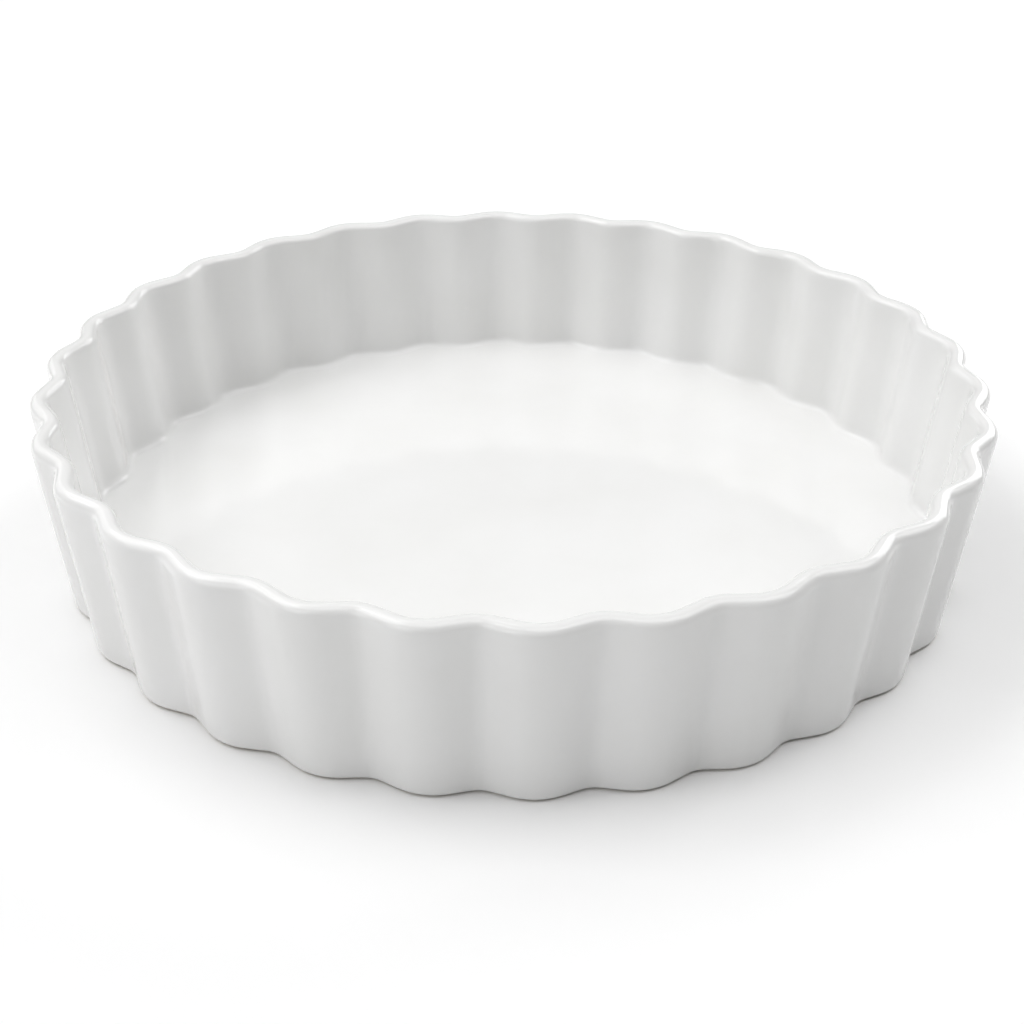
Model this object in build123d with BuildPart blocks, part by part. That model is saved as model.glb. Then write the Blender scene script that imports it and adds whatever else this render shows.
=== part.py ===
from build123d import *
from math import cos, radians
import os

# Driving sizes of the dish, in millimetres, on its glazed surface
rim_diameter = 280.0  # across two opposite lobes at the rim
foot_diameter = 267.0  # across two opposite lobes at the table
height = 54.0
wall = 5.6  # thickness, the same all along the flutes
floor_thickness = 6.0

# Flutes: the inside of the wall follows the outside, lobe for channel and crease for ridge
flute_count = 30
rim_flute_depth = 3.6  # from crest to crease at the rim
foot_flute_depth = 3.4  # from crest to crease at the table
flank_angle = 21.0  # degrees, between a flank and the round of the dish
crease_round = 8.0  # radius of the creases outside
first_crest = -90.0  # degrees, the side that faces the viewer

# Rounded edges
lip_round = 2.6
cove_round = 2.5
foot_round = 2.0

# Underside: a bare ring to stand on, round a shallow recess that is glazed
recess_diameter = 240.0
recess_depth = 1.2
recess_round = 0.8
bare_margin = 1.5  # bare clay between the recess's step and its glaze

# Glaze
glaze_thickness = 0.35
glaze_line = 0.9  # height above the table where the coat ends

cut_overrun = 5.0  # how far a cutting solid runs past what it cuts

pitch = 360.0 / flute_count
flank_turn = flank_angle + pitch / 4  # degrees, from a crest's axis to its flank's normal
crest_share = 1 - cos(radians(flank_turn))
crease_share = 1 - cos(radians(flank_turn - pitch / 2))


def at_height(foot_value, rim_value, z):
    """A size of the wall at height z; the wall is straight from the table to the rim."""
    return foot_value + (rim_value - foot_value) * z / height


def wall_face(z, inset):
    """A flat face at height z within the wall's fluted outline, drawn inset towards the axis."""
    crest_radius = at_height(foot_diameter, rim_diameter, z) / 2
    crease_radius = crest_radius - at_height(foot_flute_depth, rim_flute_depth, z)
    left = crease_radius * (1 - crease_share) - crest_radius * (1 - crest_share)
    lobe_round = (left - crease_round * crease_share) / crest_share  # so that the flanks touch both arcs
    crest_centre = Vector(crest_radius - lobe_round, 0)
    crease_centre = Vector(crease_radius + crease_round, 0).rotate(Axis.Z, pitch / 2)
    out_of_crest = Vector(lobe_round - inset, 0)
    out_of_crease = Vector(-crease_round - inset, 0)
    crest_turns = (-flank_turn, 0, flank_turn)
    crease_turns = (flank_turn, pitch / 2, pitch - flank_turn)
    crest = [crest_centre + out_of_crest.rotate(Axis.Z, turn) for turn in crest_turns]
    crease = [crease_centre + out_of_crease.rotate(Axis.Z, turn) for turn in crease_turns]
    with BuildLine() as flute:
        ThreePointArc(*crest)
        Line(crest[-1], crease[0])
        ThreePointArc(*crease)
        Line(crease[-1], crest[0].rotate(Axis.Z, pitch))
    turns = [first_crest + pitch * k for k in range(flute_count)]
    with BuildSketch(Plane.XY.offset(z)) as face:
        with BuildLine():
            add([flute.line.rotate(Axis.Z, turn) for turn in turns])
        make_face()
    return face.sketch


def make_dish(skin):
    """Makes the dish in the open part, a skin's thickness under its glazed surface."""
    top = height - skin
    floor_top = floor_thickness - skin
    outside = [wall_face(0, skin), wall_face(top, skin)]
    inside = [wall_face(floor_top, wall - skin), wall_face(top + cut_overrun, wall - skin)]
    loft(sections=outside, ruled=True)
    loft(sections=inside, ruled=True, mode=Mode.SUBTRACT)


def round_edges(dish, skin):
    """Rounds the lip, the foot and the cove between floor and wall of the open part."""
    fillet(dish.faces().sort_by(Axis.Z)[-1].edges(), radius=lip_round - skin)
    fillet(dish.faces().sort_by(Axis.Z)[0].edges(), radius=foot_round - skin)
    flat_faces = dish.faces().filter_by(Plane.XY).sort_by(Axis.Z)
    fillet(flat_faces[1].edges(), radius=cove_round + skin)


# The fired clay before its underside is cut
with BuildPart() as clay:
    make_dish(glaze_thickness)
    round_edges(clay, glaze_thickness)

# Ceramic body: wall, floor and foot ring in one piece
with BuildPart() as ceramic_body:
    add(clay.part)
    with BuildSketch():
        Circle(recess_diameter / 2)
    extrude(amount=recess_depth, mode=Mode.SUBTRACT)
    flat_faces = ceramic_body.faces().filter_by(Plane.XY).sort_by(Axis.Z)
    fillet(flat_faces[1].edges(), radius=recess_round)
ceramic_body.part.label = "ceramic_body"

# Glaze coat: a thin shell over the inside, the lip and the outside, down to the glaze line
with BuildPart() as glaze_coat:
    make_dish(0)
    round_edges(glaze_coat, 0)
    split(bisect_by=Plane.XY.offset(glaze_line), keep=Keep.TOP)
    add(clay.part, mode=Mode.SUBTRACT, clean=False)
glaze_coat.part.label = "glaze_coat"

# Base glaze: the patch of glaze on the recess's ceiling, inside the bare foot ring
with BuildPart() as base_glaze:
    with BuildSketch(Plane.XY.offset(recess_depth - glaze_thickness)):
        Circle(recess_diameter / 2 - bare_margin)
    extrude(amount=glaze_thickness)
base_glaze.part.label = "base_glaze"

os.makedirs("parts", exist_ok=True)
export_step(ceramic_body.part, "parts/ceramic_body.step")
export_step(glaze_coat.part, "parts/glaze_coat.step")
export_step(base_glaze.part, "parts/base_glaze.step")
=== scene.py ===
import bpy
import numpy as np
from math import atan, cos, pi, radians, sin, sqrt
from mathutils import Matrix, Vector, noise


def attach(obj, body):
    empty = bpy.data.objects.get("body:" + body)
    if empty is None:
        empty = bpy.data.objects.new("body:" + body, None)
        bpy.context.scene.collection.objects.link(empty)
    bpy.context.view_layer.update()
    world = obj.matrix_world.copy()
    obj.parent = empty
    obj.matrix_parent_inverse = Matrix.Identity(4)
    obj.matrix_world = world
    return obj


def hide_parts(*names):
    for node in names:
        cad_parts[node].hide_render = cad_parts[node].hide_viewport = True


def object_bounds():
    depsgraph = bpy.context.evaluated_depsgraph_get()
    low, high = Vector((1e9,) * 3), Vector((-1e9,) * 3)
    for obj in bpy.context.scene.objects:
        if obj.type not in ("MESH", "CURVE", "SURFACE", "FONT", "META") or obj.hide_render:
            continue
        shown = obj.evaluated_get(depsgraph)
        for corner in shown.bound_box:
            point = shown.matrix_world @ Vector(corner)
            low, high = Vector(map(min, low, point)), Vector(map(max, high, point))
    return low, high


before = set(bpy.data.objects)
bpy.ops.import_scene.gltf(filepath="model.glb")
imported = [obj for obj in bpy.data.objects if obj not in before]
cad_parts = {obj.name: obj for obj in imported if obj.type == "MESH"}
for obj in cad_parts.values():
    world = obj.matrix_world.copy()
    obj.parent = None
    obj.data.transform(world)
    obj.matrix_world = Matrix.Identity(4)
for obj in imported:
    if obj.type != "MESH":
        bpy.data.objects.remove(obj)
cad_low, cad_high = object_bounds()
scene = bpy.context.scene

# Sizes of the dish in metres, on its glazed surface
rim_diameter = 0.280  # across two opposite lobes at the rim
foot_diameter = 0.267
height = cad_high.z
wall = 0.0056
floor_thickness = 0.006
flute_count = 30
rim_flute_depth = 0.0036
foot_flute_depth = 0.0034
flank_turn_share = 0.25  # share of the pitch that the flank angle gains at a crest
flank_angle = 21.0  # degrees, between a flank and the round of the dish
crease_round = 0.008  # radius of the creases outside
lip_round = 0.0026
cove_round = 0.0025
foot_round = 0.002
glaze_thickness = 0.00035
glaze_line = 0.0009  # height above the table where the coat ends
first_crest = -90.0  # degrees

# Worked out from the sizes
pitch = radians(360 / flute_count)
flank_turn = radians(flank_angle) + pitch * flank_turn_share
crest_share = 1 - cos(flank_turn)
crease_share = 1 - cos(flank_turn - pitch / 2)
lean = (rim_diameter - foot_diameter) / 2 / height
slant = sqrt(1 + lean ** 2)

# How finely the glaze is meshed
columns_per_half_flute = 14
column_crowding_share = 0.6  # how much closer the columns stand at crests and creases
wall_rings = 12
ring_crowding_share = 0.9
round_rings = 8
floor_rings = 14
fade_power = 4  # how soon the flutes of the floor's edge fade towards its middle

# Unevenness of the glaze, pushed into the coat
broad_wave = 0.00014
broad_wave_length = 0.026
fine_wave = 0.00003
fine_wave_length = 0.009

# Lower edge of the coat
glaze_line_wander = 0.0004  # how far the edge strays up and down
wander_counts = (3, 7, 13, 31)  # waves round the foot
glaze_edge_round = 0.0003  # height of the rounding that closes the coat
edge_rings = 4


def at_height(foot_value, rim_value, z):
    """A size of the wall at height z; the wall is straight from the table to the rim."""
    return foot_value + (rim_value - foot_value) * z / height


def outline(turns, z, inset):
    """Distance from the axis to the wall's fluted outline at each turn from a crest, drawn inset."""
    crest = at_height(foot_diameter, rim_diameter, z) / 2
    crease = crest - at_height(foot_flute_depth, rim_flute_depth, z)
    left = crease * (1 - crease_share) - crest * (1 - crest_share)
    lobe_round = (left - crease_round * crease_share) / crest_share
    crest_centre = crest - lobe_round
    crease_centre = crease + crease_round
    crest_arc = lobe_round - inset
    crease_arc = crease_round + inset
    flank = crest_centre * cos(flank_turn) + crest_arc
    turn_at_crease = flank_turn - pitch / 2
    crest_end = np.arctan2(crest_arc * sin(flank_turn), crest_centre + crest_arc * cos(flank_turn))
    crease_end = pitch / 2 - np.arctan2(
        crease_arc * sin(turn_at_crease), crease_centre - crease_arc * cos(turn_at_crease))
    from_crease = pitch / 2 - turns
    on_crest = crest_centre * np.cos(turns) + np.sqrt(
        np.maximum(crest_arc ** 2 - (crest_centre * np.sin(turns)) ** 2, 0))
    on_crease = crease_centre * np.cos(from_crease) - np.sqrt(
        np.maximum(crease_arc ** 2 - (crease_centre * np.sin(from_crease)) ** 2, 0))
    on_flank = flank / np.cos(turns - flank_turn)
    return np.where(turns < crest_end, on_crest, np.where(turns > crease_end, on_crease, on_flank))


def crowded(count, share):
    """Shares from 0 to 1 in count steps, closer together at both ends."""
    steps = np.linspace(0, 1, count + 1)
    return steps - share * np.sin(2 * pi * steps) / (2 * pi)


def straight_rings(low, high, inset):
    """Rings of a straight stretch of wall between two heights, without its two ends."""
    return [(low + (high - low) * share, inset) for share in crowded(wall_rings, ring_crowding_share)[1:-1]]


def arc_rings(radius, level, centre_height, centre_out, face_inset, angles):
    """Rings of a rounded edge; its centre stands centre_out off the wall's face at the given level."""
    rings = []
    for angle in angles:
        z = centre_height + radius * np.sin(angle)
        rings.append((z, face_inset + lean * (z - level) - centre_out - radius * np.cos(angle)))
    return rings


def profile(skin, start):
    """Heights and insets of the rings, from the height start up and over the lip to the floor."""
    top = height - skin
    bottom = floor_thickness - skin
    lean_angle = atan(lean)
    # Foot round
    radius = foot_round - skin
    foot_end = radius - radius * sin(lean_angle)
    lowest = np.arcsin((start - radius) / radius)
    angles = [lowest + (-lean_angle - lowest) * share for share in np.linspace(0, 1, round_rings // 2 + 1)]
    foot = arc_rings(radius, 0, radius, radius * (lean - slant), skin, angles)
    # Lip, its outer and its inner half
    radius = lip_round - skin
    angles = np.linspace(-lean_angle, pi / 2, round_rings + 1)
    outer_lip = arc_rings(radius, top, top - radius, -radius * (lean + slant), skin, angles)
    angles = np.linspace(pi / 2, pi - lean_angle, round_rings + 1)
    inner_lip = arc_rings(radius, top, top - radius, radius * (slant - lean), wall - skin, angles)
    # Cove down to the floor
    radius = cove_round + skin
    angles = np.linspace(-lean_angle, -pi / 2, round_rings + 1)
    cove = arc_rings(radius, bottom, bottom + radius, radius * (lean - slant), wall - skin, angles)
    outer_wall = straight_rings(foot_end, outer_lip[0][0], skin)
    inner_wall = straight_rings(inner_lip[-1][0], cove[0][0], wall - skin)
    return foot + outer_wall + outer_lip + inner_lip + inner_wall + cove


def ring_points(radii, turns, z):
    return np.stack([radii * np.cos(turns), radii * np.sin(turns), z + np.zeros(len(turns))], axis=1)


def glaze_mesh():
    """The glaze as one closed shell: its glossy face, and the face that lies on the clay."""
    half = crowded(columns_per_half_flute, column_crowding_share) * pitch / 2
    one = np.concatenate([half[:-1], (pitch - half)[:0:-1]])
    turns = np.concatenate([one + pitch * k for k in range(flute_count)])
    folded = np.concatenate([np.minimum(one, pitch - one)] * flute_count)
    azimuths = turns + radians(first_crest)
    columns = len(turns)
    wander = sum(np.sin(azimuths * count + count ** 2) / count for count in wander_counts)
    edge_height = glaze_line + glaze_line_wander * wander
    faces = {}
    for skin, start in ((0.0, edge_height + glaze_edge_round), (glaze_thickness, edge_height)):
        rings = [ring_points(outline(folded, z, inset), azimuths, z) for z, inset in profile(skin, start)]
        edge = np.hypot(rings[-1][:, 0], rings[-1][:, 1])
        level = rings[-1][0, 2]
        for share in np.linspace(1, 0, floor_rings + 1)[1:-1]:
            radii = share * (edge.mean() + share ** fade_power * (edge - edge.mean()))
            rings.append(ring_points(radii, azimuths, level))
        faces[skin] = np.array(rings)
    hidden = faces[glaze_thickness]
    glossy = push_in(faces[0.0])
    glossy = np.concatenate([edge_rounding(hidden[0], glossy[0]), glossy])
    vertices = np.concatenate([glossy.reshape(-1, 3), hidden.reshape(-1, 3)])
    middle_top = len(vertices)
    middle_under = middle_top + 1
    vertices = np.vstack([vertices, [0, 0, floor_thickness], [0, 0, floor_thickness - glaze_thickness]])
    around = np.arange(columns)
    beside = (around + 1) % columns
    quads = []
    for start, count, turned in ((0, len(glossy), False), (len(glossy) * columns, len(hidden), True)):
        for k in range(count - 1):
            low = start + k * columns
            high = low + columns
            corners = [low + around, low + beside, high + beside, high + around]
            quads.append(np.stack(corners[::-1] if turned else corners, axis=1))
    closing = [len(glossy) * columns + around, len(glossy) * columns + beside, beside, around]
    quads.append(np.stack(closing, axis=1))
    triangles = []
    for start, middle, turned in (
            ((len(glossy) - 1) * columns, middle_top, False),
            ((len(glossy) + len(hidden) - 1) * columns, middle_under, True)):
        corners = [start + around, start + beside, np.full(columns, middle)]
        triangles.append(np.stack(corners[::-1] if turned else corners, axis=1))
    polygons = np.concatenate(quads).tolist() + np.concatenate(triangles).tolist()
    mesh = bpy.data.meshes.new("glaze")
    mesh.from_pydata(vertices.tolist(), [], polygons)
    mesh.polygons.foreach_set("use_smooth", [True] * len(polygons))
    mesh.update()
    return mesh


def push_in(rings):
    """The glossy face with a slow and a fine unevenness, pushed in along its own normals."""
    along = np.roll(rings, -1, axis=1) - np.roll(rings, 1, axis=1)
    across = np.gradient(rings, axis=0)
    normals = np.cross(along, across)
    normals = normals / np.maximum(np.linalg.norm(normals, axis=2, keepdims=True), 1e-12)
    depth = np.array([[
        broad_wave * (0.5 + 0.5 * noise.noise(Vector(p) / broad_wave_length))
        + fine_wave * (0.5 + 0.5 * noise.noise(Vector(p) / fine_wave_length))
        for p in ring] for ring in rings])
    return rings - normals * depth[:, :, None]


def edge_rounding(on_clay, on_gloss):
    """Rings that close the coat's lower edge in a quarter round from the clay to the glossy face."""
    rings = []
    for share in np.linspace(0, 1, edge_rings + 1)[1:-1]:
        across = sin(share * pi / 2)
        up = 1 - cos(share * pi / 2)
        rings.append(on_clay + (on_gloss - on_clay) * np.array([across, across, up]))
    return np.array(rings)


# Surface detail: how many features a metre, how deep in metres, and how rough
glaze_clouds = 28
glaze_mottle = 160
glaze_peel = 420
glaze_peel_depth = 0.00002
clay_grain = 2600
clay_grain_depth = 0.00006
glaze_roughness = (0.07, 0.13)
clay_roughness = (0.75, 0.95)
table_roughness = 0.9
glaze_ior = 1.5

# Colours of the surfaces, each between a darker and a lighter one
glaze_dark = (0.85, 0.85, 0.84)
glaze_light = (0.88, 0.88, 0.875)
clay_dark = (0.66, 0.62, 0.56)
clay_light = (0.78, 0.75, 0.70)
table_tone = 0.95
tint_shares = (0.3, 0.7)  # where in the noise the darker and the lighter colour are reached


def new_material(name):
    material = bpy.data.materials.new(name)
    material.use_nodes = True
    nodes = material.node_tree.nodes
    return material, nodes, material.node_tree.links, nodes["Principled BSDF"]


def noise_node(nodes, links, scale, detail, roughness=0.5):
    """Noise placed in the dish's own space, at so many features a metre."""
    place = nodes.new("ShaderNodeTexCoord")
    texture = nodes.new("ShaderNodeTexNoise")
    texture.inputs["Scale"].default_value = scale
    texture.inputs["Detail"].default_value = detail
    texture.inputs["Roughness"].default_value = roughness
    links.new(place.outputs["Object"], texture.inputs["Vector"])
    return texture


def tint_node(nodes, links, source, dark, light):
    ramp = nodes.new("ShaderNodeValToRGB")
    for element, share, colour in zip(ramp.color_ramp.elements, tint_shares, (dark, light)):
        element.position = share
        element.color = (*colour, 1)
    links.new(source, ramp.inputs["Fac"])
    return ramp


def range_node(nodes, links, source, low, high):
    spread = nodes.new("ShaderNodeMapRange")
    spread.inputs["To Min"].default_value = low
    spread.inputs["To Max"].default_value = high
    links.new(source, spread.inputs["Value"])
    return spread


def bump_node(nodes, links, source, depth):
    bump = nodes.new("ShaderNodeBump")
    bump.inputs["Strength"].default_value = 1.0
    bump.inputs["Distance"].default_value = depth
    links.new(source, bump.inputs["Height"])
    return bump


def glaze_material():
    """White glaze: glossy, with the faint unevenness and clouding of a fired coat."""
    material, nodes, links, shader = new_material("white_glaze")
    clouds = noise_node(nodes, links, glaze_clouds, 3)
    tint = tint_node(nodes, links, clouds.outputs["Fac"], glaze_dark, glaze_light)
    links.new(tint.outputs["Color"], shader.inputs["Base Color"])
    mottle = noise_node(nodes, links, glaze_mottle, 2)
    gloss = range_node(nodes, links, mottle.outputs["Fac"], *glaze_roughness)
    links.new(gloss.outputs["Result"], shader.inputs["Roughness"])
    shader.inputs["IOR"].default_value = glaze_ior
    peel = noise_node(nodes, links, glaze_peel, 2)
    bump = bump_node(nodes, links, peel.outputs["Fac"], glaze_peel_depth)
    links.new(bump.outputs["Normal"], shader.inputs["Normal"])
    return material


def clay_material():
    """Bare fired clay: matte and off-white, with a fine grain."""
    material, nodes, links, shader = new_material("fired_clay")
    grain = noise_node(nodes, links, clay_grain, 4, 0.7)
    tint = tint_node(nodes, links, grain.outputs["Fac"], clay_dark, clay_light)
    links.new(tint.outputs["Color"], shader.inputs["Base Color"])
    rough = range_node(nodes, links, grain.outputs["Fac"], *clay_roughness)
    links.new(rough.outputs["Result"], shader.inputs["Roughness"])
    bump = bump_node(nodes, links, grain.outputs["Fac"], clay_grain_depth)
    links.new(bump.outputs["Normal"], shader.inputs["Normal"])
    return material


def table_material():
    """Plain white and matte."""
    material, nodes, links, shader = new_material("table_white")
    shader.inputs["Base Color"].default_value = (table_tone, table_tone, table_tone, 1)
    shader.inputs["Roughness"].default_value = table_roughness
    shader.inputs["Specular IOR Level"].default_value = 0.0
    return material


def dress(node, material):
    node.data.materials.clear()
    node.data.materials.append(material)


# The pieces
white_glaze = glaze_material()
fired_clay = clay_material()

glaze = bpy.data.objects.new("glaze", glaze_mesh())
scene.collection.objects.link(glaze)
glaze.data.materials.append(white_glaze)
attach(glaze, "root")
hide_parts("glaze_coat")

dress(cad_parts["ceramic_body"], fired_clay)
dress(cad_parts["base_glaze"], white_glaze)

# Table
table_half = 6.0  # half of its width
table = bpy.data.meshes.new("table")
corner_shares = ((-1, -1), (1, -1), (1, 1), (-1, 1))
corners = [(across * table_half, along * table_half, 0) for across, along in corner_shares]
table.from_pydata(corners, [], [(0, 1, 2, 3)])
floor = bpy.data.objects.new("floor", table)
floor.data.materials.append(table_material())
scene.collection.objects.link(floor)

# Camera, at the photograph's viewing angle
lens = 59.55  # mm
sensor_width = 36.0  # mm
lip_centre = Vector((0, 0, height - lip_round))
camera_distance = 0.5036  # from the lip's centre
camera_elevation = 25.07  # degrees
camera_azimuth = -2.84  # degrees, negative to the left of straight in front
camera_pitch = -4.55  # degrees, from looking straight at the lip's centre
camera_roll = -0.45  # degrees

camera = bpy.data.objects.new("camera", bpy.data.cameras.new("camera"))
camera.data.lens = lens
camera.data.sensor_width = sensor_width
scene.collection.objects.link(camera)
scene.camera = camera
back = Vector((0, -cos(radians(camera_elevation)), sin(radians(camera_elevation))))
aim = (-back).to_track_quat("-Z", "Y").to_matrix()
aim = aim @ Matrix.Rotation(radians(camera_pitch), 3, "X")
aim = aim @ Matrix.Rotation(radians(-camera_roll), 3, "Z")
swing = Matrix.Rotation(radians(camera_azimuth), 4, "Z")
camera.matrix_world = swing @ Matrix.Translation(lip_centre + back * camera_distance) @ aim.to_4x4()

# Studio light
scene.view_settings.view_transform = "Standard"
light_distance = 2.0
light_width = 1.2


def softbox(name, azimuth, elevation, power):
    """A square area light that faces the dish from the given direction, in degrees."""
    lamp = bpy.data.lights.new(name, "AREA")
    lamp.shape = "SQUARE"
    lamp.size = light_width
    lamp.energy = power
    light = bpy.data.objects.new(name, lamp)
    turn = radians(azimuth)
    rise = radians(elevation)
    out = Vector((sin(turn) * cos(rise), -cos(turn) * cos(rise), sin(rise)))
    facing = (-out).to_track_quat("-Z", "Y").to_matrix().to_4x4()
    light.matrix_world = Matrix.Translation(out * light_distance) @ facing
    scene.collection.objects.link(light)


softbox("key_high", -45, 55, 1.9)
softbox("key_low", -45, 25, 7.5)
softbox("left", -90, 55, 13.8)
softbox("right", 90, 55, 11.0)
softbox("overhead", 0, 90, 2.5)
softbox("front_high", 30, 75, 7.5)
softbox("back_left", -135, 25, 4.4)
softbox("back_left_high", -135, 55, 8.1)
softbox("back_right", 135, 25, 14.0)

world = bpy.data.worlds.new("room")
world.use_nodes = True
world.node_tree.nodes["Background"].inputs["Color"].default_value = (1, 1, 1, 1)
world.node_tree.nodes["Background"].inputs["Strength"].default_value = 0.0
scene.world = world
